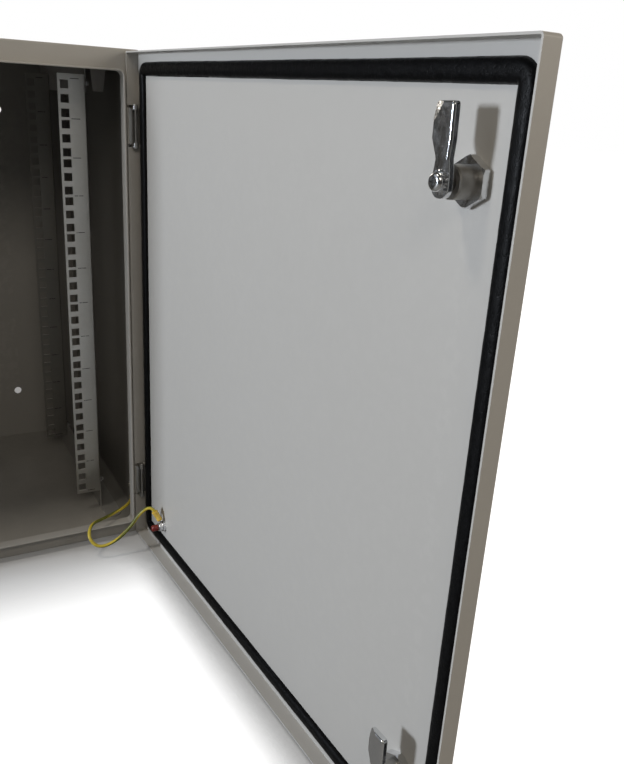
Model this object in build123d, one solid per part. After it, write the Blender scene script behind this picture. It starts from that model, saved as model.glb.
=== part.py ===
from build123d import *
import math
import os

os.makedirs("parts", exist_ok=True)

# ---------------------------------------------------------------- driving dimensions (mm)
W = 600.0            # cabinet width
H = 600.0            # cabinet height
D = 378.0            # cabinet depth, front flange to back wall
T = 1.5              # sheet thickness
FLANGE = 23.0        # width of the front flange on every side
LIP_T = 2.0          # hemmed sealing lip, thickness
LIP_H = 12.7         # lip standing forward of the flange
OPEN_R = 6.0         # inner corner radius of the door opening

WALL_X = 400.0       # wall-fixing hole spacing
WALL_Z = 440.0
WALL_R = 5.5

HOLE_X = 232.55      # rack hole column from the middle (465.1 mm apart)
U = 44.45            # rack unit
UNITS = 12
RAIL_IN = 225.0      # inner edge of a rail
RAIL_OUT = 257.0     # outer face of a rail's side flange
RAIL_SIDE = 30.0     # depth of a rail's side flange
RAIL_Z0 = 30.0
RAIL_Z1 = 572.0
FRONT_RAIL_Y = 76.0
REAR_RAIL_Y = 281.0
SQ = 9.5             # square cage-nut hole
SCREW_HOLE_R = 2.75  # clearance holes for the rail screws

DOOR_W = 596.0
DOOR_Z0 = 2.5
DOOR_Z1 = 597.5
DOOR_SKIN = -19.0    # outer skin, door shut
DOOR_RET = 15.0      # depth of the folded return
DOOR_OPEN = 93.3     # opening angle at rest
PIN_X = 290.0        # hinge axis
PIN_Y = -11.0
PIN_R = 1.5
HINGE_Z = (80.0, 520.0)

GASKET_OUT = 10.0    # inset of the seal's outer edge from the door edge
GASKET_IN = 24.5
GASKET_H = 4.5

LOCK_X = -248.0
LOCK_Z = (80.0, 520.0)
CAM_L = 43.5
CAM_GAP = 2.8        # cam stands off the barrel's end
CAM_T = 5.0

STUD_X = 230.0       # door earth stud, door shut
STUD_Z = 42.0
WIRE_R = 2.0

SHIFT = -D / 2       # the frame's origin is the middle of the base
C = Align.CENTER
LO = Align.MIN


# ---------------------------------------------------------------- helpers
def box(x0, x1, y0, y1, z0, z1):
    return Pos(x0, y0, z0) * Box(x1 - x0, y1 - y0, z1 - z0, align=(LO, LO, LO))


def cyl(p, axis, r, length):
    """Round bar from point p along axis."""
    return Plane(origin=p, z_dir=axis) * Cylinder(r, length, align=(C, C, LO))


def slab(pts, y0, y1):
    """Prism with an XZ outline between y0 and y1."""
    face = make_face(Polyline(*[(x, y0, z) for x, z in pts], close=True))
    return extrude(face, amount=y1 - y0, dir=(0, 1, 0))


def frame_xz(sketch, y0, y1):
    """A sketch in X and Z swept from y0 to y1."""
    return extrude(Plane.XZ.offset(-y0) * sketch, amount=y1 - y0, dir=(0, 1, 0))


def hexagon(af, r_hole, h):
    """Hex nut, standing on XY, corners on local Y, with light corner chamfers."""
    s = Rot(0, 0, 30) * extrude(RegularPolygon(af / 2, 6, major_radius=False), amount=h)
    cone = Cylinder(af / math.sqrt(3) * 0.985, h, align=(C, C, LO))
    cone = chamfer(cone.edges().filter_by(GeomType.CIRCLE), h * 0.16)
    s = s & cone
    return s - Cylinder(r_hole, h, align=(C, C, LO))


def one(s):
    return s.solids()[0] if len(s.solids()) == 1 else s


swing = Pos(PIN_X, PIN_Y, 0) * Rot(0, 0, DOOR_OPEN) * Pos(-PIN_X, -PIN_Y, 0)


def save(name, shape, on_door=False):
    if isinstance(shape, (list, tuple)):
        shape = Compound(children=[one(s) for s in shape])
    if on_door:
        shape = swing * shape
    shape = Pos(0, SHIFT, 0) * shape
    shape.label = name
    export_step(shape, "parts/" + name + ".step")
    print(name, "solids", len(shape.solids()), "volume", round(shape.volume, 1))


# ---------------------------------------------------------------- cabinet shell
outer = box(-W / 2, W / 2, 0, D, 0, H)
outer = fillet(outer.edges().filter_by(Axis.Y), 4.0)
outer = fillet(outer.faces().sort_by(Axis.Y)[0].edges(), 1.8)
outer = fillet(outer.faces().sort_by(Axis.Y)[-1].edges(), 1.8)
inner = box(-W / 2 + T, W / 2 - T, T, D - T, T, H - T)
inner = fillet(inner.edges().filter_by(Axis.Y), 2.5)
shell = outer - inner
ow = W - 2 * FLANGE
oh = H - 2 * FLANGE
mouth = Pos(0, H / 2) * RectangleRounded(ow, oh, OPEN_R)
rim = Pos(0, H / 2) * RectangleRounded(ow + 2 * LIP_T, oh + 2 * LIP_T, OPEN_R + LIP_T)
shell = shell - frame_xz(mouth, -5, T + 5)
lip = frame_xz(rim - mouth, -LIP_H, T)
lip = fillet(lip.faces().sort_by(Axis.Y)[0].edges(), 0.8)
shell = shell + lip
for sx in (-1, 1):
    for sz in (-1, 1):
        shell = shell - cyl((sx * WALL_X / 2, D - 5, H / 2 + sz * WALL_Z / 2), (0, 1, 0), WALL_R, 10)
for zc in HINGE_Z:
    for s in (-1, 1):
        shell = shell - box(PIN_X - 3.7, PIN_X + 3.7, -1, T + 1, zc + s * 21 - 1.2, zc + s * 21 + 1.2)
save("cabinet_shell", shell)

# ---------------------------------------------------------------- rack rails
# one column of square holes, three to a unit
RZ = H / 2 + UNITS * U / 2
hole_z = [RZ - u * U - k for u in range(UNITS) for k in (6.35, 22.225, 38.1)]


def rail(side, y):
    face = Pos((RAIL_IN + RAIL_OUT) / 2, (RAIL_Z0 + RAIL_Z1) / 2) * Rectangle(RAIL_OUT - RAIL_IN, RAIL_Z1 - RAIL_Z0)
    cuts = Sketch() + [Pos(HOLE_X, z) * Rectangle(SQ, SQ) for z in hole_z]
    plate = frame_xz(face - cuts, y, y + T)
    web = box(RAIL_OUT - T, RAIL_OUT, y, y + RAIL_SIDE, RAIL_Z0, RAIL_Z1)
    r = plate + web
    r = fillet(r.edges().filter_by(Axis.Z).filter_by_position(Axis.X, RAIL_OUT - 0.01, RAIL_OUT + 0.01).filter_by_position(Axis.Y, y - 0.01, y + 0.01), 1.4)
    for z in SCREW_Z:
        r = r - cyl((RAIL_OUT - T - 1, y + 16, z), (1, 0, 0), SCREW_HOLE_R, T + 2)
    return r if side > 0 else mirror(r, about=Plane.YZ)


SCREW_Z = (40.0, 562.0)
save("front_rail_right", rail(1, FRONT_RAIL_Y))
save("front_rail_left", rail(-1, FRONT_RAIL_Y))
save("rear_rail_right", rail(1, REAR_RAIL_Y))
save("rear_rail_left", rail(-1, REAR_RAIL_Y))

# ---------------------------------------------------------------- rail supports
# angle strips along the floor and the roof that the rails are screwed to
SUP_X = 258.5
SUP_Y1 = 345.0


def lower_support(side):
    foot = box(RAIL_OUT, 279, 46, SUP_Y1, T, 2 * T)
    foot = fillet(foot.edges().filter_by(Axis.Z).filter_by_position(Axis.X, 278.9, 279.1).filter_by_position(Axis.Y, 45.9, 46.1), 12)
    web = box(RAIL_OUT, SUP_X, 80, SUP_Y1, T, 48)
    s = foot + web
    for y in (FRONT_RAIL_Y + 16, REAR_RAIL_Y + 16):
        s = s - cyl((RAIL_OUT - 1, y, SCREW_Z[0]), (1, 0, 0), SCREW_HOLE_R, T + 2)
    return s if side > 0 else mirror(s, about=Plane.YZ)


def upper_support(side):
    top = box(RAIL_OUT, 284, 76, SUP_Y1, H - 2 * T, H - T)
    web = box(RAIL_OUT, SUP_X, 80, SUP_Y1, 552, H - T)
    ear = slab([(261.5, H - T), (284, H - T), (277.5, 554), (265.5, 554)], 76, 76 + T)
    s = top + web + ear
    for y in (FRONT_RAIL_Y + 16, REAR_RAIL_Y + 16):
        s = s - cyl((RAIL_OUT - 1, y, SCREW_Z[1]), (1, 0, 0), SCREW_HOLE_R, T + 2)
    return s if side > 0 else mirror(s, about=Plane.YZ)


save("lower_support_right", lower_support(1))
save("lower_support_left", lower_support(-1))
save("upper_support_right", upper_support(1))
save("upper_support_left", upper_support(-1))

screws, nuts = [], []
for y in (FRONT_RAIL_Y + 16, REAR_RAIL_Y + 16):
    for z in SCREW_Z:
        head = cyl((RAIL_OUT - T, y, z), (-1, 0, 0), 4.5, 2.8)
        head = fillet(head.edges().filter_by(GeomType.CIRCLE).sort_by(Axis.X)[0], 1.4)
        head = head - box(RAIL_OUT - T - 3, RAIL_OUT - T - 1.6, y - 2.6, y + 2.6, z - 0.5, z + 0.5)
        head = head - box(RAIL_OUT - T - 3, RAIL_OUT - T - 1.6, y - 0.5, y + 0.5, z - 2.6, z + 2.6)
        shank = cyl((RAIL_OUT - T, y, z), (1, 0, 0), 2.5, 9)
        screws.append(head + shank)
        nuts.append(Plane(origin=(SUP_X, y, z), x_dir=(0, 1, 0), z_dir=(1, 0, 0)) * hexagon(8, 2.5, 4))
screws += [mirror(one(s), about=Plane.YZ) for s in list(screws)]
nuts += [mirror(one(s), about=Plane.YZ) for s in list(nuts)]
save("rail_screws", screws)
save("rail_nuts", nuts)

# ---------------------------------------------------------------- hinges
EAR_R = 3.3
for tag, zc in zip(("lower", "upper"), HINGE_Z):
    # cabinet side: strap behind the flange, two ears through its slots
    strap = box(PIN_X - 4, PIN_X + 4, T, 2 * T, zc - 27, zc + 27)
    for s in (-1, 1):
        z0 = zc + s * 21 - 1
        ear = box(PIN_X - EAR_R, PIN_X + EAR_R, PIN_Y, 2 * T, z0, z0 + 2) + Pos(PIN_X, PIN_Y, z0) * Cylinder(EAR_R, 2, align=(C, C, LO))
        strap = strap + ear
    strap = strap - Pos(PIN_X, PIN_Y, zc) * Cylinder(PIN_R, 60)
    save("hinge_bracket_" + tag, strap)
    pin = Pos(PIN_X, PIN_Y, zc) * Cylinder(PIN_R, 44)
    for s in (-1, 1):
        head = Pos(PIN_X, PIN_Y, zc + s * 22.9) * Cylinder(2.5, 1.8)
        head = fillet(head.edges().filter_by(GeomType.CIRCLE).sort_by(Axis.Z)[-1 if s > 0 else 0], 0.8)
        pin = pin + head
    save("hinge_pin_" + tag, pin)
    # door side: plate on the return with two ears that turn on the pin
    plate = box(295, 296.5, -17.2, -5.2, zc - 19.6, zc + 19.6)
    for s in (-1, 1):
        z0 = zc + s * 18.6 - 1
        ear = box(PIN_X, 295.5, PIN_Y - EAR_R, PIN_Y + EAR_R, z0, z0 + 2) + Pos(PIN_X, PIN_Y, z0) * Cylinder(EAR_R, 2, align=(C, C, LO))
        plate = plate + ear
    plate = plate - Pos(PIN_X, PIN_Y, zc) * Cylinder(PIN_R + 0.06, 60)
    save("door_hinge_" + tag, plate, True)

# ---------------------------------------------------------------- door
dh = DOOR_Z1 - DOOR_Z0
dz = (DOOR_Z0 + DOOR_Z1) / 2
pan = box(-DOOR_W / 2, DOOR_W / 2, DOOR_SKIN, DOOR_SKIN + DOOR_RET, DOOR_Z0, DOOR_Z1)
pan = fillet(pan.edges().filter_by(Axis.Y), 2.5)
pan = fillet(pan.faces().sort_by(Axis.Y)[0].edges(), 1.8)
hollow = box(-DOOR_W / 2 + T, DOOR_W / 2 - T, DOOR_SKIN + T, 0, DOOR_Z0 + T, DOOR_Z1 - T)
hollow = fillet(hollow.edges().filter_by(Axis.Y), 1.0)
pan = pan - hollow
for zc in HINGE_Z:
    for s in (-1, 1):
        pan = pan - box(295, 299, DOOR_SKIN + T, 0, zc + s * 21 - 1.4, zc + s * 21 + 1.4)
for zc in LOCK_Z:
    pan = pan - cyl((LOCK_X, DOOR_SKIN - 1, zc), (0, 1, 0), 10.2, 6)
save("door_panel", pan, True)

g_out = Pos(0, dz) * RectangleRounded(DOOR_W - 2 * GASKET_OUT, dh - 2 * GASKET_OUT, 11)
g_in = Pos(0, dz) * RectangleRounded(DOOR_W - 2 * GASKET_IN, dh - 2 * GASKET_IN, 3)
seal = frame_xz(g_out - g_in, DOOR_SKIN + T, DOOR_SKIN + T + GASKET_H)
seal = fillet(seal.faces().sort_by(Axis.Y)[-1].edges(), 2.8)
save("door_gasket", seal, True)

# ---------------------------------------------------------------- quarter-turn latches
INNER = DOOR_SKIN + T
BODY_END = 1.3
for tag, zc in zip(("lower", "upper"), LOCK_Z):
    # housing: round head outside, threaded barrel through the door
    rose = cyl((LOCK_X, DOOR_SKIN, zc), (0, -1, 0), 13, 4)
    rose = fillet(rose.edges().filter_by(GeomType.CIRCLE).sort_by(Axis.Y)[0], 1.5)
    barrel = cyl((LOCK_X, DOOR_SKIN, zc), (0, 1, 0), 10, BODY_END - DOOR_SKIN)
    barrel = chamfer(barrel.edges().filter_by(GeomType.CIRCLE).sort_by(Axis.Y)[-1], 0.8)
    body = rose + barrel - cyl((LOCK_X, DOOR_SKIN - 6, zc), (0, 1, 0), 6.05, 40)
    save("lock_body_" + tag, body, True)
    nut = Plane(origin=(LOCK_X, INNER, zc), x_dir=(1, 0, 0), z_dir=(0, 1, 0)) * hexagon(27, 10.02, 6)
    save("lock_nut_" + tag, nut, True)
    # spindle with a two-bit key recess, square at the inner end
    y0 = BODY_END + CAM_GAP
    y1 = y0 + CAM_T - 0.9
    spin = cyl((LOCK_X, DOOR_SKIN - 3, zc), (0, 1, 0), 6.0, y0 - DOOR_SKIN + 3)
    spin = spin - cyl((LOCK_X, DOOR_SKIN - 4, zc), (0, 1, 0), 4.6, 7) + cyl((LOCK_X, DOOR_SKIN - 2.5, zc), (0, 1, 0), 1.5, 7)
    spin = spin + box(LOCK_X - 4.6, LOCK_X + 4.6, DOOR_SKIN - 2.5, DOOR_SKIN + 3, zc - 0.9, zc + 0.9)
    spin = spin + box(LOCK_X - 3.95, LOCK_X + 3.95, y0 - 0.5, y1 + 0.0, zc - 3.95, zc + 3.95)
    spin = spin - cyl((LOCK_X, y0 - 11, zc), (0, 1, 0), 2.5, 24)
    save("lock_spindle_" + tag, spin, True)
    # cast cam, pointing up at rest: oval boss, waist, blade with one straight side and a bevelled leading corner
    corner = [
        ((-7.0, -9.2), 6.3), ((7.0, -9.2), 6.3), ((7.0, 4.0), 8.0), ((5.8, 12.5), 4.0), ((10.5, 23.0), 6.0),
        ((10.9, 43.0), 2.4), ((-5.9, CAM_L), 2.4), ((-6.3, 23.0), 9.0), ((-5.4, 12.5), 8.0), ((-7.0, 4.0), 8.0),
    ]
    plan = make_face(Polyline(*[p for p, r in corner], close=True))
    for (x, z), r in corner:
        plan = fillet(min(plan.vertices(), key=lambda v: math.hypot(v.X - x, v.Y - z)), r)
    cam = frame_xz(Pos(LOCK_X, zc) * plan, y0, y0 + CAM_T)
    cam = fillet(cam.faces().sort_by(Axis.Y)[-1].edges(), 1.5)
    cam = fillet(cam.faces().sort_by(Axis.Y)[0].edges(), 0.7)
    tilt = math.radians(21)
    lean = (0.85 * math.sin(tilt), math.cos(tilt), 0.52 * math.sin(tilt))
    ramp = Plane(origin=(LOCK_X + 2.3, y0 + CAM_T, zc + CAM_L), x_dir=(8.3, 0, -14.0), z_dir=lean)
    cam = cam - ramp * Box(70, 70, 12, align=(C, C, LO))
    cam = cam - box(LOCK_X - 12, LOCK_X + 12, y1, y1 + 5, zc - 12, zc + 12.6)
    cam = cam - box(LOCK_X - 4, LOCK_X + 4, y0 - 1, y1 + 1, zc - 4, zc + 4)
    save("lock_cam_" + tag, cam, True)
    # toothed washer and domed screw
    star = []
    for i in range(36):
        r = 6.9 if i % 2 == 0 else 5.9
        a = 2 * math.pi * i / 36
        star.append((LOCK_X + r * math.cos(a), zc + r * math.sin(a)))
    washer = slab(star, y1 + 0.02, y1 + 1.5) - cyl((LOCK_X, y1 - 1, zc), (0, 1, 0), 2.6, 4)
    save("cam_washer_" + tag, washer, True)
    head = cyl((LOCK_X, y1 + 1.5, zc), (0, 1, 0), 5.6, 3.8)
    head = fillet(head.edges().filter_by(GeomType.CIRCLE).sort_by(Axis.Y)[-1], 2.6)
    for w, l in ((0.6, 3.0), (3.0, 0.6)):
        head = head - box(LOCK_X - w, LOCK_X + w, y1 + 3.6, y1 + 7, zc - l, zc + l)
    head = head + cyl((LOCK_X, y1 + 1.5, zc), (0, -1, 0), 2.5, 11)
    save("cam_screw_" + tag, head, True)

# ---------------------------------------------------------------- earth bonding
# door stud, standing on the inner skin
def post(p, axis, r, length):
    s = cyl(p, axis, r, length)
    return s


sy = INNER
save("door_earth_stud", post((STUD_X, sy, STUD_Z), (0, 1, 0), 3.0, 15.5), True)
ring_w = cyl((STUD_X, sy, STUD_Z), (0, 1, 0), 6.2, 1.2) - cyl((STUD_X, sy - 1, STUD_Z), (0, 1, 0), 3.05, 4)
lock_w = cyl((STUD_X, sy + 2.2, STUD_Z), (0, 1, 0), 6.2, 1.2) - cyl((STUD_X, sy + 1, STUD_Z), (0, 1, 0), 3.05, 4)
save("door_earth_washers", [ring_w, lock_w], True)
save("door_earth_nut", Plane(origin=(STUD_X, sy + 3.4, STUD_Z), x_dir=(1, 0, 0), z_dir=(0, 1, 0)) * hexagon(10, 3.02, 5), True)
cap = cyl((STUD_X, sy + 9.2, STUD_Z), (0, 1, 0), 3.9, 7.6)
cap = fillet(cap.edges().filter_by(GeomType.CIRCLE).sort_by(Axis.Y)[-1], 1.8)
cap = cap - cyl((STUD_X, sy + 9, STUD_Z), (0, 1, 0), 3.02, 6.5)
save("earth_stud_cap", cap, True)

# ring terminals: flat ring, neck, and an insulating sleeve on the crimp
def unit(v):
    n = math.sqrt(sum(c * c for c in v))
    return tuple(c / n for c in v)


def add(p, v, k):
    return tuple(a + k * b for a, b in zip(p, v))


SLEEVE_R = 3.4
SLEEVE_L = 14.0
d_dir = unit((0.28, 0.42, 0.86))                      # door sleeve, door shut
d_start = (STUD_X + 1.5, sy + 5.1, STUD_Z + 8.6)
d_end = add(d_start, d_dir, SLEEVE_L)
lug = cyl((STUD_X, sy + 1.2, STUD_Z), (0, 1, 0), 6.0, 1.0)
lug = lug + box(STUD_X - 2.6, STUD_X + 2.6, sy + 1.2, sy + 2.2, STUD_Z, STUD_Z + 8.5)
lug = lug - cyl((STUD_X, sy, STUD_Z), (0, 1, 0), 3.1, 4)
neck_a = (STUD_X + 0.2, sy + 2.9, STUD_Z + 7.6)
nd = unit(tuple(b - a for a, b in zip(neck_a, d_start)))
nl = math.dist(neck_a, d_start)
lug = lug + (cyl(neck_a, nd, 1.6, nl + 0.6) - Plane(origin=d_start, z_dir=d_dir) * Box(20, 20, 8, align=(C, C, LO)))
save("door_ring_terminal", lug, True)
save("door_crimp_sleeve", fillet(cyl(d_start, d_dir, SLEEVE_R, SLEEVE_L).edges().filter_by(GeomType.CIRCLE), 0.6), True)

# cabinet stud on the right wall, just behind the flange
cs = (W / 2 - T, 46.0, 47.0)
save("cabinet_earth_stud", post(cs, (-1, 0, 0), 3.0, 10.5))
cw1 = cyl(cs, (-1, 0, 0), 6.2, 1.2) - cyl(add(cs, (1, 0, 0), 1), (-1, 0, 0), 3.05, 4)
cw2 = cyl(add(cs, (-1, 0, 0), 2.2), (-1, 0, 0), 6.2, 1.2) - cyl(cs, (-1, 0, 0), 3.05, 6)
save("cabinet_earth_washers", [cw1, cw2])
save("cabinet_earth_nut", Plane(origin=add(cs, (-1, 0, 0), 3.4), x_dir=(0, 1, 0), z_dir=(-1, 0, 0)) * hexagon(10, 3.02, 5))
c_dir = unit((-7.4, -15.0, -5.0))
c_start = add(cs, (-6.4, -10.0, -3.0), 1)
c_end = add(c_start, c_dir, SLEEVE_L)
clug = cyl(add(cs, (-1, 0, 0), 1.2), (-1, 0, 0), 6.0, 1.0)
clug = clug + box(cs[0] - 2.2, cs[0] - 1.2, cs[1] - 8.5, cs[1], cs[2] - 4.4, cs[2] + 0.8)
clug = clug - cyl(cs, (-1, 0, 0), 3.1, 6)
neck_b = (cs[0] - 2.9, cs[1] - 7.4, cs[2] - 2.0)
nd = unit(tuple(b - a for a, b in zip(neck_b, c_start)))
nl = math.dist(neck_b, c_start)
clug = clug + (cyl(neck_b, nd, 1.6, nl + 0.6) - Plane(origin=c_start, z_dir=c_dir) * Box(20, 20, 8, align=(C, C, LO)))
save("cabinet_ring_terminal", clug)
save("cabinet_crimp_sleeve", fillet(cyl(c_start, c_dir, SLEEVE_R, SLEEVE_L).edges().filter_by(GeomType.CIRCLE), 0.6))

# earth wire: out of the cabinet sleeve, over the lower lip, a slack loop, up to the door sleeve
a = math.radians(DOOR_OPEN)


def turned(p):
    x, y, z = p[0] - PIN_X, p[1] - PIN_Y, p[2]
    return (PIN_X + x * math.cos(a) - y * math.sin(a), PIN_Y + x * math.sin(a) + y * math.cos(a), z)


w_end = turned(d_end)
e_dir = unit(tuple(q - p for p, q in zip(turned(d_start), w_end)))
route = [
    c_end,
    add(c_end, c_dir, 13.0),
    (258.0, 2.0, 33.0),
    (237.0, -12.5, 35.5),
    (218.0, -27.5, 40.0),
    (210.5, -43.5, 30.5),
    (221.0, -51.5, 18.0),
    (243.0, -52.5, 23.0),
    (262.0, -55.0, 42.0),
    (272.0, -58.5, 60.0),
    add(w_end, e_dir, 9.0),
    w_end,
]


def sub(p, q):
    return tuple(x - y for x, y in zip(p, q))


runs = [math.dist(p, q) for p, q in zip(route, route[1:])]
radii = []
for i in range(1, len(route) - 1):
    u, v = unit(sub(route[i], route[i - 1])), unit(sub(route[i + 1], route[i]))
    turn = math.acos(max(-1.0, min(1.0, sum(p * q for p, q in zip(u, v)))))
    back = 0.45 * runs[i - 1] if i > 1 else 0.9 * runs[0]
    lead = 0.45 * runs[i] if i < len(route) - 2 else 0.9 * runs[-1]
    radii.append(min(back, lead) / math.tan(turn / 2))
    print("wire corner", i, "turn", round(math.degrees(turn), 1), "radius", round(radii[-1], 1), "in diameters", round(radii[-1] / (2 * WIRE_R), 1))
print("wire runs", [round(r, 1) for r in runs])
path = FilletPolyline(*route, radius=radii)
wire = sweep(Plane(origin=route[0], z_dir=path % 0) * Circle(WIRE_R), path=path)
print("wire length", round(path.length, 1), "volume", round(wire.volume, 1), "section x length", round(math.pi * WIRE_R ** 2 * path.length, 1))
print("wire route", [tuple(round(v + (SHIFT if k == 1 else 0), 2) for k, v in enumerate(p)) for p in route])
save("earth_wire", wire)
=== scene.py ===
import math

import bmesh
import bpy
import numpy as np
from mathutils import Matrix, Vector, noise


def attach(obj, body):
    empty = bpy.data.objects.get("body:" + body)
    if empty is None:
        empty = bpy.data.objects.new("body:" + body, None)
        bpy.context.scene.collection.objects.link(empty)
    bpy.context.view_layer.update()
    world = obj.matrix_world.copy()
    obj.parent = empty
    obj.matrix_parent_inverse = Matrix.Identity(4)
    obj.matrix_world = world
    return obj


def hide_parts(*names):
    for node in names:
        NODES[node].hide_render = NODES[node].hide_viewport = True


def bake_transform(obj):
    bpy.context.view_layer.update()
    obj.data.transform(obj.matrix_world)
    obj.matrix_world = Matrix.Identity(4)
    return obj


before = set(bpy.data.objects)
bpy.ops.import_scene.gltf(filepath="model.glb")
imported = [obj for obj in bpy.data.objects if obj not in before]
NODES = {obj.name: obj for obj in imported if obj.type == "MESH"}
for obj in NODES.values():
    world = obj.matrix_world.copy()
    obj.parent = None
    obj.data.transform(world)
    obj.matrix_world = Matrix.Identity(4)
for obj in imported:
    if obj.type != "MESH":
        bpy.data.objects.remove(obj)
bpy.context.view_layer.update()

scene = bpy.context.scene

# ---------------------------------------------------------------- shared dimensions (metres)
PIN = Vector((0.290, -0.200, 0.0))
OPEN = math.radians(93.3)
SWING = Matrix.Translation(PIN) @ Matrix.Rotation(OPEN, 4, "Z") @ Matrix.Translation(-PIN)
INNER_SKIN = -0.2065          # inner face of the door skin, door shut
UNIT = 0.04445
RAIL_TOP = 0.5667             # upper boundary of the top rack unit


# ---------------------------------------------------------------- node helpers
class Graph:
    """Small builder for a procedural material."""

    def __init__(self, name):
        self.mat = bpy.data.materials.new(name)
        self.mat.use_nodes = True
        self.tree = self.mat.node_tree
        self.tree.nodes.clear()
        self.out = self.add("ShaderNodeOutputMaterial")
        self.bsdf = self.add("ShaderNodeBsdfPrincipled")
        self.link(self.bsdf.outputs["BSDF"], self.out.inputs["Surface"])
        coord = self.add("ShaderNodeTexCoord")
        self.obj = coord.outputs["Object"]
        self.uv = coord.outputs["UV"]
        self.normal = coord.outputs["Normal"]

    def add(self, kind, **values):
        n = self.tree.nodes.new(kind)
        for k, v in values.items():
            setattr(n, k, v)
        return n

    def link(self, a, b):
        self.tree.links.new(a, b)

    def put(self, socket, value):
        if isinstance(value, bpy.types.NodeSocket):
            self.link(value, socket)
        else:
            socket.default_value = value

    def set(self, **values):
        for k, v in values.items():
            self.put(self.bsdf.inputs[k.replace("_", " ")], v)

    def math(self, op, a, b=0.0, c=0.0, clamp=False):
        n = self.add("ShaderNodeMath", operation=op, use_clamp=clamp)
        for i, v in enumerate((a, b, c)):
            if i < len(n.inputs):
                self.put(n.inputs[i], v)
        return n.outputs[0]

    def noise(self, scale, detail=3.0, rough=0.55, vector=None, distortion=0.0):
        n = self.add("ShaderNodeTexNoise")
        self.link(vector or self.obj, n.inputs["Vector"])
        n.inputs["Scale"].default_value = scale
        n.inputs["Detail"].default_value = detail
        n.inputs["Roughness"].default_value = rough
        n.inputs["Distortion"].default_value = distortion
        return n.outputs["Fac"]

    def voronoi(self, scale, feature="F1", vector=None, output="Distance", rand=1.0):
        n = self.add("ShaderNodeTexVoronoi", feature=feature)
        self.link(vector or self.obj, n.inputs["Vector"])
        n.inputs["Scale"].default_value = scale
        n.inputs["Randomness"].default_value = rand
        return n.outputs[output]

    def ramp(self, fac, *stops, mode="LINEAR"):
        n = self.add("ShaderNodeValToRGB")
        n.color_ramp.interpolation = mode
        els = n.color_ramp.elements
        while len(els) < len(stops):
            els.new(0.5)
        for e, (p, c) in zip(els, stops):
            e.position = p
            e.color = c if len(c) == 4 else (*c, 1.0)
        self.link(fac, n.inputs["Fac"])
        return n.outputs["Color"]

    def mix(self, fac, a, b, blend="MIX"):
        n = self.add("ShaderNodeMix", data_type="RGBA", blend_type=blend)
        self.put(n.inputs["Factor"], fac)
        for i, v in ((6, a), (7, b)):
            self.put(n.inputs[i], v if isinstance(v, bpy.types.NodeSocket) or len(v) == 4 else (*v, 1.0))
        return n.outputs[2]

    def span(self, value, a, b, lo=0.0, hi=1.0):
        n = self.add("ShaderNodeMapRange", interpolation_type="SMOOTHSTEP")
        self.put(n.inputs["Value"], value)
        for k, v in (("From Min", a), ("From Max", b), ("To Min", lo), ("To Max", hi)):
            n.inputs[k].default_value = v
        return n.outputs["Result"]

    def bump(self, height, strength, distance, normal=None):
        n = self.add("ShaderNodeBump")
        n.inputs["Strength"].default_value = strength
        n.inputs["Distance"].default_value = distance
        self.link(height, n.inputs["Height"])
        if normal is not None:
            self.link(normal, n.inputs["Normal"])
        return n.outputs["Normal"]

    def xyz(self, vector=None):
        n = self.add("ShaderNodeSeparateXYZ")
        self.link(vector or self.obj, n.inputs[0])
        return n.outputs

    def stretched(self, scale, vector=None):
        n = self.add("ShaderNodeMapping")
        self.link(vector or self.obj, n.inputs["Vector"])
        n.inputs["Scale"].default_value = scale
        return n.outputs["Vector"]

    def edges(self, lo=0.51, hi=0.60):
        geo = self.add("ShaderNodeNewGeometry")
        return self.span(geo.outputs["Pointiness"], lo, hi)


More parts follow.
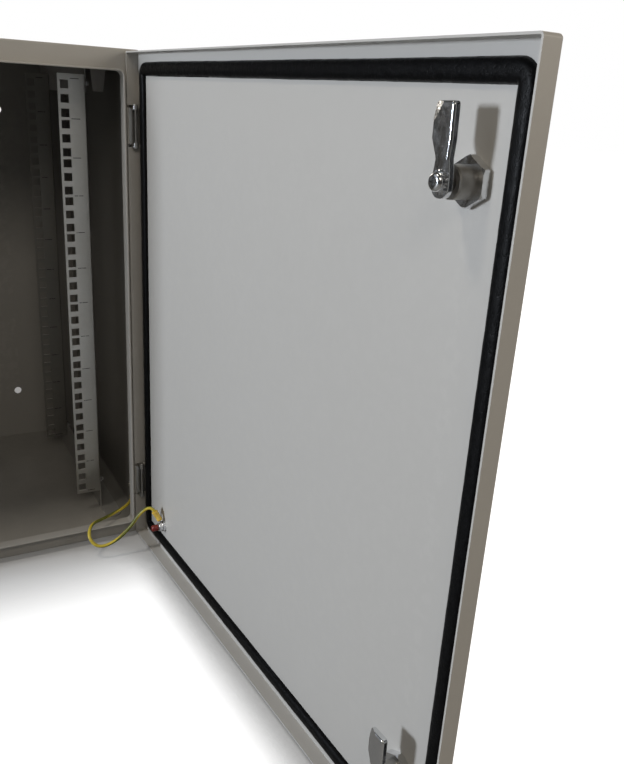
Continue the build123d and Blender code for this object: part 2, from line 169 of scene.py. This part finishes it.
# ---------------------------------------------------------------- materials
def powder(name, base, peel=1.0, grime=0.0, shade_inside=False, worn=1.0):
    """Textured powder coat: fine orange peel, faint mottling, rubbed edges and handling marks; inside the box the
    colour near the side walls and towards the top is darkened as painted shade.
    """
    g = Graph(name)
    peel_n = g.noise(620.0, 2.0, 0.5)
    fine = g.noise(2100.0, 2.0, 0.6)
    cloud = g.noise(5.5, 4.0, 0.6)
    mottle = g.noise(46.0, 4.0, 0.65)
    col = g.mix(g.span(mottle, 0.3, 0.7), tuple(c * 0.995 for c in base), tuple(min(1, c * 1.005) for c in base))
    col = g.mix(g.span(cloud, 0.35, 0.75, 0.0, 0.10), col, (base[0] * 0.95, base[1] * 0.94, base[2] * 0.92))
    speck = g.span(fine, 0.60, 0.74, 0.0, 0.10)
    col = g.mix(speck, col, tuple(c * 0.72 for c in base))
    if grime:
        xs = g.xyz()
        low = g.span(xs["Z"], 0.10, 0.0, 0.0, grime)
        streak = g.noise(16.0, 4.0, 0.7, g.stretched((1.0, 1.0, 0.25)))
        col = g.mix(g.math("MULTIPLY", low, g.span(streak, 0.35, 0.7)), col, tuple(c * 0.62 for c in base))
    # Painted shade inside the box: near the side walls and towards the top the colour is darkened, standing in for
    # shade that falls there.
    if shade_inside:
        xs = g.xyz()
        ax, ay = g.math("ABSOLUTE", xs["X"]), g.math("ABSOLUTE", xs["Y"])
        mask = g.math("MULTIPLY", g.math("LESS_THAN", ax, 0.29925), g.math("LESS_THAN", ay, 0.18825))
        mask = g.math("MULTIPLY", mask, g.math("LESS_THAN", g.math("ABSOLUTE", g.math("SUBTRACT", xs["Z"], 0.3)), 0.29925))
        interior_shade_factor = g.math("MULTIPLY", g.span(ax, 0.250, 0.290, 0.80, 0.56), g.span(xs["Z"], 0.30, 0.58, 1.0, 0.74))
        dull = g.add("ShaderNodeCombineColor")
        for k in dull.inputs:
            g.link(interior_shade_factor, k)
        col = g.mix(mask, col, g.mix(1.0, col, dull.outputs[0], "MULTIPLY"))
    rub = g.math("MULTIPLY", g.edges(0.53, 0.66), g.span(g.noise(120.0, 3.0), 0.45, 0.62, 0.0, 0.55 * worn))
    col = g.mix(rub, col, tuple(min(1, c * 1.22) for c in base))
    scuff = g.noise(34.0, 5.0, 0.7, g.stretched((1.0, 1.0, 6.0)))
    rough = g.math("ADD", g.span(mottle, 0.2, 0.8, 0.44, 0.46), g.span(scuff, 0.58, 0.75, 0.0, 0.02 * worn))
    g.set(Base_Color=col, Roughness=rough)
    g.set(IOR=1.5)
    g.bsdf.inputs["Specular IOR Level"].default_value = 0.45
    n = g.bump(peel_n, 0.14 * peel, 0.00030)
    n = g.bump(fine, 0.12 * peel, 0.00012, n)
    g.set(Normal=n)
    return g.mat


def zinc(name, tone, marks=False, metal=1.0, lo=0.34, hi=0.42):
    """Zinc-coated sheet: soft spangle, drawing lines and dull patches; rails carry plain unit marks, and their
    up-facing faces are painted pale and less metallic as a painted highlight.
    """
    g = Graph(name)
    cell = g.voronoi(240.0, output="Color")
    cells = g.xyz(cell)["X"]
    drawn = g.noise(900.0, 2.0, 0.5, g.stretched((1.0, 1.0, 0.03)))
    dull = g.noise(22.0, 4.0, 0.65)
    col = g.mix(g.span(cells, 0.0, 1.0), tuple(c * 0.985 for c in tone), tuple(min(1, c * 1.012) for c in tone))
    col = g.mix(g.span(dull, 0.45, 0.72, 0.0, 0.18), col, tuple(c * 0.88 for c in tone))
    rough = g.math("ADD", g.span(dull, 0.3, 0.7, lo, hi), g.math("MULTIPLY", g.math("SUBTRACT", cells, 0.5), 0.008))
    if marks:
        x = g.xyz()
        ax = g.math("ABSOLUTE", x["X"])
        step = g.math("DIVIDE", g.math("SUBTRACT", RAIL_TOP, x["Z"]), UNIT)
        near = g.math("ABSOLUTE", g.math("SUBTRACT", step, g.math("ROUND", step)))
        line = g.math("LESS_THAN", near, 0.00042 / UNIT)
        line = g.math("MULTIPLY", line, g.math("GREATER_THAN", ax, 0.2392))
        line = g.math("MULTIPLY", line, g.math("LESS_THAN", ax, 0.2495))
        worn = g.span(g.noise(420.0, 2.0), 0.32, 0.46)
        line = g.math("MULTIPLY", line, worn)
        col = g.mix(line, col, (0.03, 0.03, 0.03))
        # Painted highlight: faces turned upwards are made pale and mostly non-metallic so that they read as lit.
        painted_top_light = g.span(g.xyz(g.normal)["Z"], 0.6, 0.8)
        col = g.mix(painted_top_light, col, (0.86, 0.85, 0.82))
        # From here the line mask holds both the unit marks and the painted highlight on upward faces.
        line = g.math("MAXIMUM", line, g.math("MULTIPLY", painted_top_light, 0.85))
        g.set(Metallic=g.math("SUBTRACT", metal, g.math("MULTIPLY", line, metal)))
    else:
        g.set(Metallic=metal)
    g.set(Base_Color=col, Roughness=rough)
    g.set(Normal=g.bump(drawn, 0.04, 0.00005))
    return g.mat


def plated(name, tone, rough_lo, rough_hi, pitch=None, axis=(0, 0, 1), recess_shade=0.25, dimple=0.0):
    """Plated metal with hairline scratches and finger haze, recesses darkened as painted shade; pitch adds rolled
    thread lines.
    """
    g = Graph(name)
    haze = g.noise(140.0, 4.0, 0.6)
    scratch = g.noise(2600.0, 2.0, 0.6, g.stretched((1.0, 0.06, 1.0)))
    # Painted shade: recesses are darkened towards a quarter of the tone.
    recess_shade_mask = g.edges(0.50, 0.40)
    col = g.mix(g.span(haze, 0.35, 0.7, 0.0, 0.30), tone, tuple(c * 0.86 for c in tone))
    col = g.mix(g.math("MULTIPLY", recess_shade_mask, recess_shade), col, tuple(c * 0.25 for c in tone))
    rough = g.math("ADD", g.span(haze, 0.3, 0.72, rough_lo, rough_hi), g.span(scratch, 0.55, 0.75, 0.0, 0.07))
    g.set(Base_Color=col, Roughness=rough, Metallic=1.0)
    n = g.bump(scratch, 0.05, 0.00003)
    n = g.bump(g.noise(380.0, 2.0), 0.06, 0.00012, n)
    if dimple:
        n = g.bump(g.noise(210.0, 2.0, 0.5), dimple, 0.0007, n)
    if pitch:
        dot = g.add("ShaderNodeVectorMath", operation="DOT_PRODUCT")
        g.link(g.obj, dot.inputs[0])
        dot.inputs[1].default_value = axis
        turn = g.math("MULTIPLY", dot.outputs["Value"], 2 * math.pi / pitch)
        n = g.bump(g.math("SINE", turn), 0.6, 0.00022, n)
    g.set(Normal=n)
    return g.mat


def diecast(name, tone):
    """Die-cast zinc: grainy satin with darker pits and rubbed rims."""
    g = Graph(name)
    grain = g.noise(900.0, 3.0, 0.6)
    haze = g.noise(90.0, 4.0, 0.6)
    col = g.mix(g.span(haze, 0.3, 0.7), tuple(c * 0.85 for c in tone), tuple(min(1, c * 1.08) for c in tone))
    col = g.mix(g.math("MULTIPLY", g.edges(0.53, 0.62), 0.5), col, (0.62, 0.62, 0.62))
    g.set(Base_Color=col, Metallic=0.85, Roughness=g.span(haze, 0.25, 0.75, 0.32, 0.5))
    g.set(Normal=g.bump(grain, 0.18, 0.00012))
    return g.mat


def foam(name):
    """Foamed seal: closed skin with fine pores, a few bubbles and dust that catches light."""
    g = Graph(name)
    pores = g.voronoi(900.0)
    bubble = g.voronoi(260.0)
    skin = g.noise(330.0, 4.0, 0.6)
    dust = g.noise(1500.0, 3.0, 0.7)
    col = g.mix(g.span(skin, 0.3, 0.75), (0.0016, 0.0016, 0.0018), (0.0040, 0.0040, 0.0044))
    col = g.mix(g.span(dust, 0.70, 0.80, 0.0, 0.25), col, (0.05, 0.05, 0.05))
    g.set(Base_Color=col, Roughness=g.span(skin, 0.25, 0.75, 0.34, 0.52))
    g.bsdf.inputs["Specular IOR Level"].default_value = 0.10
    n = g.bump(g.span(pores, 0.0, 0.55), 0.32, 0.0004)
    n = g.bump(g.span(bubble, 0.08, 0.30), 0.16, 0.0006, n)
    n = g.bump(skin, 0.25, 0.0007, n)
    g.set(Normal=n)
    return g.mat


def plastic(name, base, rough=0.38, soft=0.0):
    """Moulded plastic with faint flow lines, dust and tiny scratches."""
    g = Graph(name)
    flow = g.noise(60.0, 3.0, 0.6, distortion=0.8)
    speck = g.noise(1800.0, 2.0, 0.6)
    col = g.mix(g.span(flow, 0.3, 0.7), tuple(c * 0.86 for c in base), tuple(min(1, c * 1.08) for c in base))
    col = g.mix(g.span(speck, 0.68, 0.8, 0.0, 0.35), col, tuple(c * 0.5 for c in base))
    g.set(Base_Color=col, Roughness=g.span(g.noise(300.0), 0.3, 0.7, rough - 0.06, rough + 0.1))
    if soft:
        g.bsdf.inputs["Subsurface Weight"].default_value = soft
        g.bsdf.inputs["Subsurface Radius"].default_value = (0.002, 0.0012, 0.0006)
    g.set(Normal=g.bump(g.noise(700.0, 3.0), 0.12, 0.00015))
    return g.mat


def wire_skin(name):
    """Extruded insulation in two colours, laid as slow spirals along the wire."""
    g = Graph(name)
    uv = g.xyz(g.uv)
    lay = g.math("FRACT", g.math("ADD", uv["X"], g.math("MULTIPLY", uv["Y"], 9.0)))
    wob = g.math("MULTIPLY", g.math("SUBTRACT", g.noise(300.0, 2.0), 0.5), 0.06)
    lay = g.math("FRACT", g.math("ADD", lay, wob))
    edge = g.math("MULTIPLY", g.span(lay, 0.34, 0.37), g.span(lay, 0.93, 0.90))
    dull = g.noise(180.0, 3.0, 0.6)
    yellow = g.mix(g.span(dull, 0.3, 0.7), (0.57, 0.44, 0.04), (0.72, 0.57, 0.06))
    green = g.mix(g.span(dull, 0.3, 0.7), (0.13, 0.14, 0.016), (0.19, 0.20, 0.026))
    g.set(Base_Color=g.mix(edge, green, yellow), Roughness=g.span(dull, 0.3, 0.7, 0.34, 0.48))
    g.set(Normal=g.bump(g.noise(900.0, 3.0), 0.15, 0.00012))
    return g.mat


PAINT = (0.50, 0.485, 0.455)
axis_door = (math.sin(OPEN), -math.cos(OPEN), 0.0)
M = {
    "shell": powder("powder_coat_cabinet", PAINT, peel=0.4, grime=0.2, shade_inside=True, worn=0.4),
    "door": powder("powder_coat_door", PAINT, peel=0.25, grime=0.06, worn=0.3),
    "rail": zinc("zinc_rail", (0.66, 0.66, 0.64), marks=True),
    # The rear rails are the same zinc as the front ones with a darker tone: painted shade.
    "rail_rear_shaded": zinc("zinc_rail_rear", (0.40, 0.395, 0.375), marks=True),
    "zinc": zinc("zinc_support", (0.46, 0.455, 0.44), metal=0.4, lo=0.42, hi=0.55),
    "hinge": plated("zinc_hinge", (0.50, 0.50, 0.49), 0.30, 0.46),
    "chrome": plated("bright_chrome", (0.78, 0.79, 0.80), 0.12, 0.22, dimple=0.30),
    # The lock spindle gets a dark tone that stands in for the shade in the gap between cam and barrel: painted
    # shade.
    "collar": plated("collar_painted_shade", (0.16, 0.155, 0.15), 0.30, 0.44),
    "bright": plated("bright_zinc", (0.78, 0.79, 0.81), 0.20, 0.32),
    "stud": plated("threaded_stud", (0.62, 0.60, 0.55), 0.20, 0.34, pitch=0.001, axis=axis_door),
    "stud_x": plated("threaded_stud_wall", (0.62, 0.60, 0.55), 0.20, 0.34, pitch=0.001, axis=(1, 0, 0)),
    "cast": diecast("diecast_housing", (0.34, 0.325, 0.30)),
    "foam": foam("foamed_seal"),
    "red": plastic("red_cap", (0.20, 0.021, 0.017), 0.26),
    "sleeve": plastic("crimp_sleeve", (0.82, 0.56, 0.10), 0.24, 0.1),
    "wire": wire_skin("wire_insulation"),
}

FINISH = {
    "cabinet_shell": "shell", "door_panel": "door", "door_gasket": "foam", "earth_stud_cap": "red",
    "door_crimp_sleeve": "sleeve", "cabinet_crimp_sleeve": "sleeve", "earth_wire": "wire",
    "door_earth_stud": "stud", "cabinet_earth_stud": "stud_x",
}


def finish_of(node):
    if node in FINISH:
        return FINISH[node]
    if "_rail_" in node:
        return "rail_rear_shaded" if node.startswith("rear") else "rail"
    if "_support_" in node:
        return "zinc"
    if node.startswith(("hinge_bracket", "door_hinge", "hinge_pin")):
        return "hinge"
    if node.startswith("lock_body"):
        return "cast"
    if node.startswith("lock_spindle"):
        return "collar"
    if node.startswith(("lock_nut", "lock_cam", "cam_")):
        return "chrome"
    return "bright"


for name, o in NODES.items():
    o.data.materials.clear()
    o.data.materials.append(M[finish_of(name)])


# ---------------------------------------------------------------- mesh helpers
def mesh_object(name, verts, faces, mat, uvs=None):
    me = bpy.data.meshes.new(name)
    me.from_pydata([tuple(v) for v in verts], [], faces)
    if uvs is not None:
        layer = me.uv_layers.new(name="UVMap")
        for poly in me.polygons:
            for li, uv in zip(poly.loop_indices, uvs[poly.index]):
                layer.data[li].uv = uv
    me.polygons.foreach_set("use_smooth", [True] * len(me.polygons))
    me.update()
    o = bpy.data.objects.new(name, me)
    scene.collection.objects.link(o)
    me.materials.append(mat)
    return o


def frames_along(pts):
    """Tangents and steady side vectors along a line of points."""
    tang = []
    for i in range(len(pts)):
        a, b = pts[max(i - 1, 0)], pts[min(i + 1, len(pts) - 1)]
        tang.append((b - a).normalized())
    side = tang[0].orthogonal().normalized()
    out = []
    for t in tang:
        side = (side - t * side.dot(t)).normalized()
        out.append((t, side, t.cross(side)))
    return out


def tube(name, pts, radius, mat, around=18):
    """A closed round tube along points, with UVs around and along."""
    fr = frames_along(pts)
    verts, faces, uvs = [], [], []
    run, along = 0.0, [0.0]
    for a, b in zip(pts, pts[1:]):
        run += (b - a).length
        along.append(run)
    for p, (t, s, u) in zip(pts, fr):
        for k in range(around):
            w = 2 * math.pi * k / around
            verts.append(p + (s * math.cos(w) + u * math.sin(w)) * radius)
    for i in range(len(pts) - 1):
        for k in range(around):
            k2 = (k + 1) % around
            faces.append((i * around + k, i * around + k2, (i + 1) * around + k2, (i + 1) * around + k))
            uvs.append([(k / around, along[i]), ((k + 1) / around, along[i]), ((k + 1) / around, along[i + 1]), (k / around, along[i + 1])])
    for i, sign in ((0, -1), (len(pts) - 1, 1)):
        c = len(verts)
        verts.append(pts[i])
        for k in range(around):
            k2 = (k + 1) % around
            tri = (c, i * around + k, i * around + k2) if sign > 0 else (c, i * around + k2, i * around + k)
            faces.append(tri)
            uvs.append([(0.1, along[i])] * 3)
    return mesh_object(name, verts, faces, mat, uvs)


def lathe(name, origin, axis, profile, mat, around=32, squeeze=None):
    """A turned form about an axis; profile holds (distance along, radius), squeeze flattens it locally."""
    z = Vector(axis).normalized()
    x = z.orthogonal().normalized()
    y = z.cross(x)
    verts, faces = [], []
    for d, r in profile:
        for k in range(around):
            w = 2 * math.pi * k / around
            f = squeeze(d, w) if squeeze else 1.0
            verts.append(Vector(origin) + z * d + (x * math.cos(w) + y * math.sin(w)) * r * f)
    n = len(profile)
    for i in range(n - 1):
        for k in range(around):
            k2 = (k + 1) % around
            faces.append((i * around + k, i * around + k2, (i + 1) * around + k2, (i + 1) * around + k))
    faces.append(tuple(reversed(range(around))))
    faces.append(tuple((n - 1) * around + k for k in range(around)))
    return mesh_object(name, verts, faces, mat)


# ---------------------------------------------------------------- earth wire
ROUTE = [
    (0.28617, -0.16503, 0.03999), (0.28065, -0.17620, 0.03627), (0.2580, -0.1870, 0.0330), (0.2370, -0.2015, 0.0355),
    (0.2180, -0.2165, 0.0400), (0.2105, -0.2325, 0.0305), (0.2210, -0.2405, 0.0180), (0.2430, -0.2415, 0.0230),
    (0.2620, -0.2440, 0.0420), (0.2720, -0.2475, 0.0600), (0.28472, -0.25243, 0.07044), (0.28865, -0.25474, 0.06267),
]
WIRE_R = 0.0020


def smooth_line(route, per_span=10):
    curve = bpy.data.curves.new("wire_line", "CURVE")
    curve.dimensions = "3D"
    curve.resolution_u = per_span
    spline = curve.splines.new("NURBS")
    spline.points.add(len(route) - 1)
    for p, q in zip(spline.points, route):
        p.co = (*q, 1.0)
    spline.order_u = 3
    spline.use_endpoint_u = True
    o = bpy.data.objects.new("wire_line", curve)
    scene.collection.objects.link(o)
    bpy.context.view_layer.update()
    me = bpy.data.meshes.new_from_object(o.evaluated_get(bpy.context.evaluated_depsgraph_get()))
    pts = [v.co.copy() for v in me.vertices]
    bpy.data.meshes.remove(me)
    bpy.data.objects.remove(o)
    bpy.data.curves.remove(curve)
    return pts


line = smooth_line(ROUTE)
wire = tube("earth_wire_tube", line, WIRE_R, M["wire"])
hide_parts("earth_wire")
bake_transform(wire)


# ---------------------------------------------------------------- crimp sleeves
def sleeve(name, start, end, body, node, R=0.0034):
    """Insulating sleeve: bell mouth at the wire, waisted crimp in the middle, rolled end."""
    a, b = Vector(start), Vector(end)
    L = (b - a).length
    prof = [(0.0, R * 0.62), (0.0002, R * 0.80), (0.0008, R * 0.90), (0.0020, R * 0.93)]
    for i in range(1, 12):
        t = i / 12
        r = R * (0.93 - 0.06 * math.sin(math.pi * min(1.0, t * 1.25)))
        prof.append((0.0020 + t * (L - 0.0045), r))
    prof += [(L - 0.0022, R * 0.93), (L - 0.0012, R * 0.985), (L - 0.0004, R), (L - 0.0001, R * 0.95), (L, R * 0.86), (L - 0.0001, R * 0.60)]

    def squeeze(d, w):
        t = math.exp(-((d - 0.42 * L) / (0.20 * L)) ** 2)
        return 1.0 - 0.13 * t * math.cos(w) ** 2 + 0.03 * t * math.sin(w) ** 2

    o = lathe(name, a, b - a, prof, M["sleeve"], 36, squeeze)
    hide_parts(node)
    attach(o, body)
    return o


def shut(p):
    return SWING @ Vector(p)


d_dir = Vector((0.28, 0.42, 0.86)).normalized()
d_start = Vector((0.2315, INNER_SKIN + 0.0051, 0.0506))
sleeve("door_sleeve", shut(d_start), shut(d_start + d_dir * 0.014), "door", "door_crimp_sleeve", 0.0039)
c_dir = Vector((-7.4, -15.0, -5.0)).normalized()
c_start = Vector((0.2921, -0.153, 0.044))
sleeve("cabinet_sleeve", c_start, c_start + c_dir * 0.014, "cabinet", "cabinet_crimp_sleeve")


# ---------------------------------------------------------------- foamed seal
def seal_bead():
    """Foamed bead laid round the door: rounded section, slightly uneven, with an overlapped start."""
    half_w, z0, z1, r = 0.28075, 0.01975, 0.58025, 0.0074
    pts = []
    corners = [(half_w - r, z0 + r, -90), (half_w - r, z1 - r, 0), (-half_w + r, z1 - r, 90), (-half_w + r, z0 + r, 180)]
    for (cx, cz, a0), nxt in zip(corners, corners[1:] + corners[:1]):
        for i in range(13):
            w = math.radians(a0 + 90 * i / 12)
            pts.append((cx + r * math.cos(w), cz + r * math.sin(w)))
        ex = (nxt[0] + r * math.cos(math.radians(nxt[2])), nxt[1] + r * math.sin(math.radians(nxt[2])))
        sx = pts[-1]
        steps = int(math.dist(sx, ex) / 0.0026)
        for i in range(1, steps):
            pts.append((sx[0] + (ex[0] - sx[0]) * i / steps, sx[1] + (ex[1] - sx[1]) * i / steps))
    n = len(pts)
    prof = []
    for i in range(15):
        s = -1 + 2 * i / 14
        prof.append((s, (1 - abs(s) ** 2.5) ** 0.55))
    m = len(prof)
    run = 0.0
    verts, faces = [], []
    for i in range(n):
        p0, p1 = Vector(pts[i - 1]), Vector(pts[(i + 1) % n])
        p = Vector(pts[i])
        t = (p1 - p0).normalized()
        out = Vector((t.y, -t.x))
        run += (p - p0).length
        q = Vector((p.x * 9, 0.0, p.y * 9))
        wide = 0.00715 * (1 + 0.035 * noise.noise(q * 2.0) + 0.02 * noise.noise(q * 9.0))
        wide = min(wide, 0.0074)
        high = 0.0044 * (1 + 0.05 * noise.noise(q * 3.1 + Vector((7, 1, 3))) + 0.03 * noise.noise(q * 14.0))
        off = 0.0002 * noise.noise(q * 1.3 + Vector((2, 9, 4)))
        lap = math.exp(-((p.x - 0.05) / 0.006) ** 2) if p.y < 0.05 else 0.0
        high = min(high * (1 + 0.10 * lap), 0.0048)
        for s, h in prof:
            a = p + out * (s * wide + off)
            k = 1 + 0.04 * noise.noise(Vector((a.x * 160, s * 2.0, a.y * 160)))
            verts.append(shut((a.x, INNER_SKIN + h * high * k, a.y)))
        verts.append(shut((p.x - out.x * wide * 0.99, INNER_SKIN + 0.00002, p.y - out.y * wide * 0.99)))
        verts.append(shut((p.x + out.x * wide * 0.99, INNER_SKIN + 0.00002, p.y + out.y * wide * 0.99)))
    ring = m + 2
    for i in range(n):
        j = (i + 1) % n
        for k in range(m - 1):
            faces.append((i * ring + k, i * ring + k + 1, j * ring + k + 1, j * ring + k))
        faces.append((i * ring + m - 1, i * ring + m + 1, j * ring + m + 1, j * ring + m - 1))
        faces.append((i * ring + m + 1, i * ring + m, j * ring + m, j * ring + m + 1))
        faces.append((i * ring + m, i * ring, j * ring, j * ring + m))
    o = mesh_object("seal_bead", verts, faces, M["foam"])
    bm = bmesh.new()
    bm.from_mesh(o.data)
    bmesh.ops.recalc_face_normals(bm, faces=bm.faces)
    bm.to_mesh(o.data)
    bm.free()
    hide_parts("door_gasket")
    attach(o, "door")
    return o


seal_bead()

# ---------------------------------------------------------------- stage and light
floor_mat = bpy.data.materials.new("pale_floor")
floor_mat.use_nodes = True
ft = floor_mat.node_tree
ft.nodes.clear()
f_out = ft.nodes.new("ShaderNodeOutputMaterial")
f_seen = ft.nodes.new("ShaderNodeBsdfDiffuse")
f_glow = ft.nodes.new("ShaderNodeEmission")
f_sum = ft.nodes.new("ShaderNodeAddShader")
f_dark = ft.nodes.new("ShaderNodeBsdfDiffuse")
f_dark.inputs["Color"].default_value = (0.30, 0.295, 0.285, 1.0)
f_path = ft.nodes.new("ShaderNodeLightPath")
f_mix = ft.nodes.new("ShaderNodeMixShader")
f_geo = ft.nodes.new("ShaderNodeNewGeometry")


def f_node(kind, **values):
    n = ft.nodes.new(kind)
    for k, v in values.items():
        setattr(n, k, v)
    return n


def f_span(value, a, b, lo, hi):
    n = f_node("ShaderNodeMapRange", interpolation_type="SMOOTHSTEP")
    ft.links.new(value, n.inputs["Value"])
    for k, v in (("From Min", a), ("From Max", b), ("To Min", lo), ("To Max", hi)):
        n.inputs[k].default_value = v
    return n.outputs["Result"]


def f_near(centre, half):
    """Distance from an upright block on the floor, over its footprint."""
    off = f_node("ShaderNodeVectorMath", operation="SUBTRACT")
    ft.links.new(f_geo.outputs["Position"], off.inputs[0])
    off.inputs[1].default_value = centre
    size = f_node("ShaderNodeVectorMath", operation="ABSOLUTE")
    ft.links.new(off.outputs[0], size.inputs[0])
    gap = f_node("ShaderNodeVectorMath", operation="SUBTRACT")
    ft.links.new(size.outputs[0], gap.inputs[0])
    gap.inputs[1].default_value = half
    over = f_node("ShaderNodeVectorMath", operation="MAXIMUM")
    ft.links.new(gap.outputs[0], over.inputs[0])
    length = f_node("ShaderNodeVectorMath", operation="LENGTH")
    ft.links.new(over.outputs[0], length.inputs[0])
    return length.outputs["Value"]


# Painted shadow on the floor: for camera rays the floor's glow is dimmed round the cabinet's foot, round the door's
# foot and in a patch behind the cabinet.
near = f_node("ShaderNodeMath", operation="MINIMUM")
ft.links.new(f_span(f_near((0.0, 0.0, 0.0), (0.30, 0.19, 1.0)), 0.0, 0.22, 0.10, 1.05), near.inputs[0])
# Painted shadow round the door's foot, taken from ambient occlusion.
close = f_node("ShaderNodeAmbientOcclusion", samples=16)  # follows the door wherever it stands
close.inputs["Distance"].default_value = 0.09
ft.links.new(f_span(close.outputs["AO"], 0.58, 0.97, 0.04, 1.05), near.inputs[1])
shade = f_node("ShaderNodeMath", operation="MINIMUM")
ft.links.new(near.outputs[0], shade.inputs[0])
# Painted shadow: a dark patch on the floor behind the cabinet.
ft.links.new(f_span(f_near((0.02, 0.20, 0.0), (0.20, 0.22, 1.0)), 0.0, 0.38, 0.04, 1.05), shade.inputs[1])
ft.links.new(shade.outputs[0], f_glow.inputs["Strength"])
f_seen.inputs["Color"].default_value = (0.58, 0.58, 0.58, 1.0)
ft.links.new(f_seen.outputs[0], f_sum.inputs[0])
ft.links.new(f_glow.outputs[0], f_sum.inputs[1])
ft.links.new(f_path.outputs["Is Camera Ray"], f_mix.inputs["Fac"])
ft.links.new(f_dark.outputs[0], f_mix.inputs[1])
ft.links.new(f_sum.outputs[0], f_mix.inputs[2])
ft.links.new(f_mix.outputs[0], f_out.inputs["Surface"])
bpy.ops.mesh.primitive_circle_add(vertices=96, radius=14.0, fill_type="NGON", location=(0, 0, 0))
floor = bpy.context.object
floor.name = "floor"
floor.data.materials.append(floor_mat)

world = bpy.data.worlds.new("studio")
scene.world = world
world.use_nodes = True
wt = world.node_tree
wt.nodes.clear()
wo = wt.nodes.new("ShaderNodeOutputWorld")
seen = wt.nodes.new("ShaderNodeBackground")
seen.inputs["Color"].default_value = (1.0, 1.0, 1.0, 1.0)
seen.inputs["Strength"].default_value = 1.0
lit = wt.nodes.new("ShaderNodeBackground")
lit.inputs["Color"].default_value = (1.0, 0.97, 0.93, 1.0)
lit.inputs["Strength"].default_value = 0.04
path = wt.nodes.new("ShaderNodeLightPath")
mixer = wt.nodes.new("ShaderNodeMixShader")
wt.links.new(path.outputs["Is Camera Ray"], mixer.inputs["Fac"])
wt.links.new(lit.outputs["Background"], mixer.inputs[1])
wt.links.new(seen.outputs["Background"], mixer.inputs[2])
wt.links.new(mixer.outputs["Shader"], wo.inputs["Surface"])


def area(name, at, aim, size, power, colour):
    d = bpy.data.lights.new(name, "AREA")
    d.shape = "RECTANGLE"
    d.size, d.size_y = size
    d.energy = power
    d.color = colour
    o = bpy.data.objects.new(name, d)
    scene.collection.objects.link(o)
    o.location = at
    o.rotation_mode = "QUATERNION"
    o.rotation_quaternion = (Vector(aim) - Vector(at)).to_track_quat("-Z", "Y")
    return o


DAY, LAMP = (0.875, 0.943, 1.045), (1.0, 0.92, 0.81)
area("window_left", (-2.2, -0.15, 0.70), (0.3, -0.5, 0.30), (0.32, 0.42), 45.0, DAY)
area("window_far", (-1.6, 0.3, 1.5), (0.3, -0.5, 0.3), (1.2, 1.2), 2.0, DAY)
area("lamp_high", (-0.65, -0.47, 2.1), (0.3, -0.5, 0.4), (0.22, 0.22), 7.0, (1.0, 0.92, 0.80))
area("front_high", (-0.3, -2.4, 1.8), (0.1, -0.2, 0.3), (1.0, 0.7), 9.2, LAMP)
area("right_fill", (1.6, -1.8, 1.1), (0.2, -0.5, 0.3), (0.8, 0.8), 10.5, LAMP)
area("back_fill", (0.1, 2.6, 1.6), (0.0, 0.1, 0.35), (1.2, 1.0), 15.0, LAMP)
area("side_fill", (2.6, 0.5, 1.4), (0.3, -0.2, 0.3), (1.0, 1.0), 16.0, LAMP)

# ---------------------------------------------------------------- camera
yaw, pitch, roll, focal = math.radians(29.912), math.radians(-19.764), math.radians(3.501), 782.967
fwd = Vector((math.sin(yaw) * math.cos(pitch), math.cos(yaw) * math.cos(pitch), math.sin(pitch)))
right = Vector((math.cos(yaw), -math.sin(yaw), 0.0))
up = right.cross(fwd)
cx = right * math.cos(roll) + up * math.sin(roll)
cy = up * math.cos(roll) - right * math.sin(roll)
cam_data = bpy.data.cameras.new("camera")
cam_data.sensor_width = 36.0
cam_data.sensor_fit = "AUTO"
cam_data.lens = focal / 764.0 * 36.0
cam_data.clip_start = 0.02
cam_data.clip_end = 60.0
cam = bpy.data.objects.new("camera", cam_data)
scene.collection.objects.link(cam)
rot = Matrix((cx, cy, -fwd)).transposed()
cam.matrix_world = Matrix.Translation((0.019280, -1.099167, 0.559086)) @ rot.to_4x4()
scene.camera = cam

scene.view_settings.view_transform = "Standard"
scene.view_settings.look = "None"
scene.view_settings.exposure = 0.0
scene.view_settings.gamma = 1.0
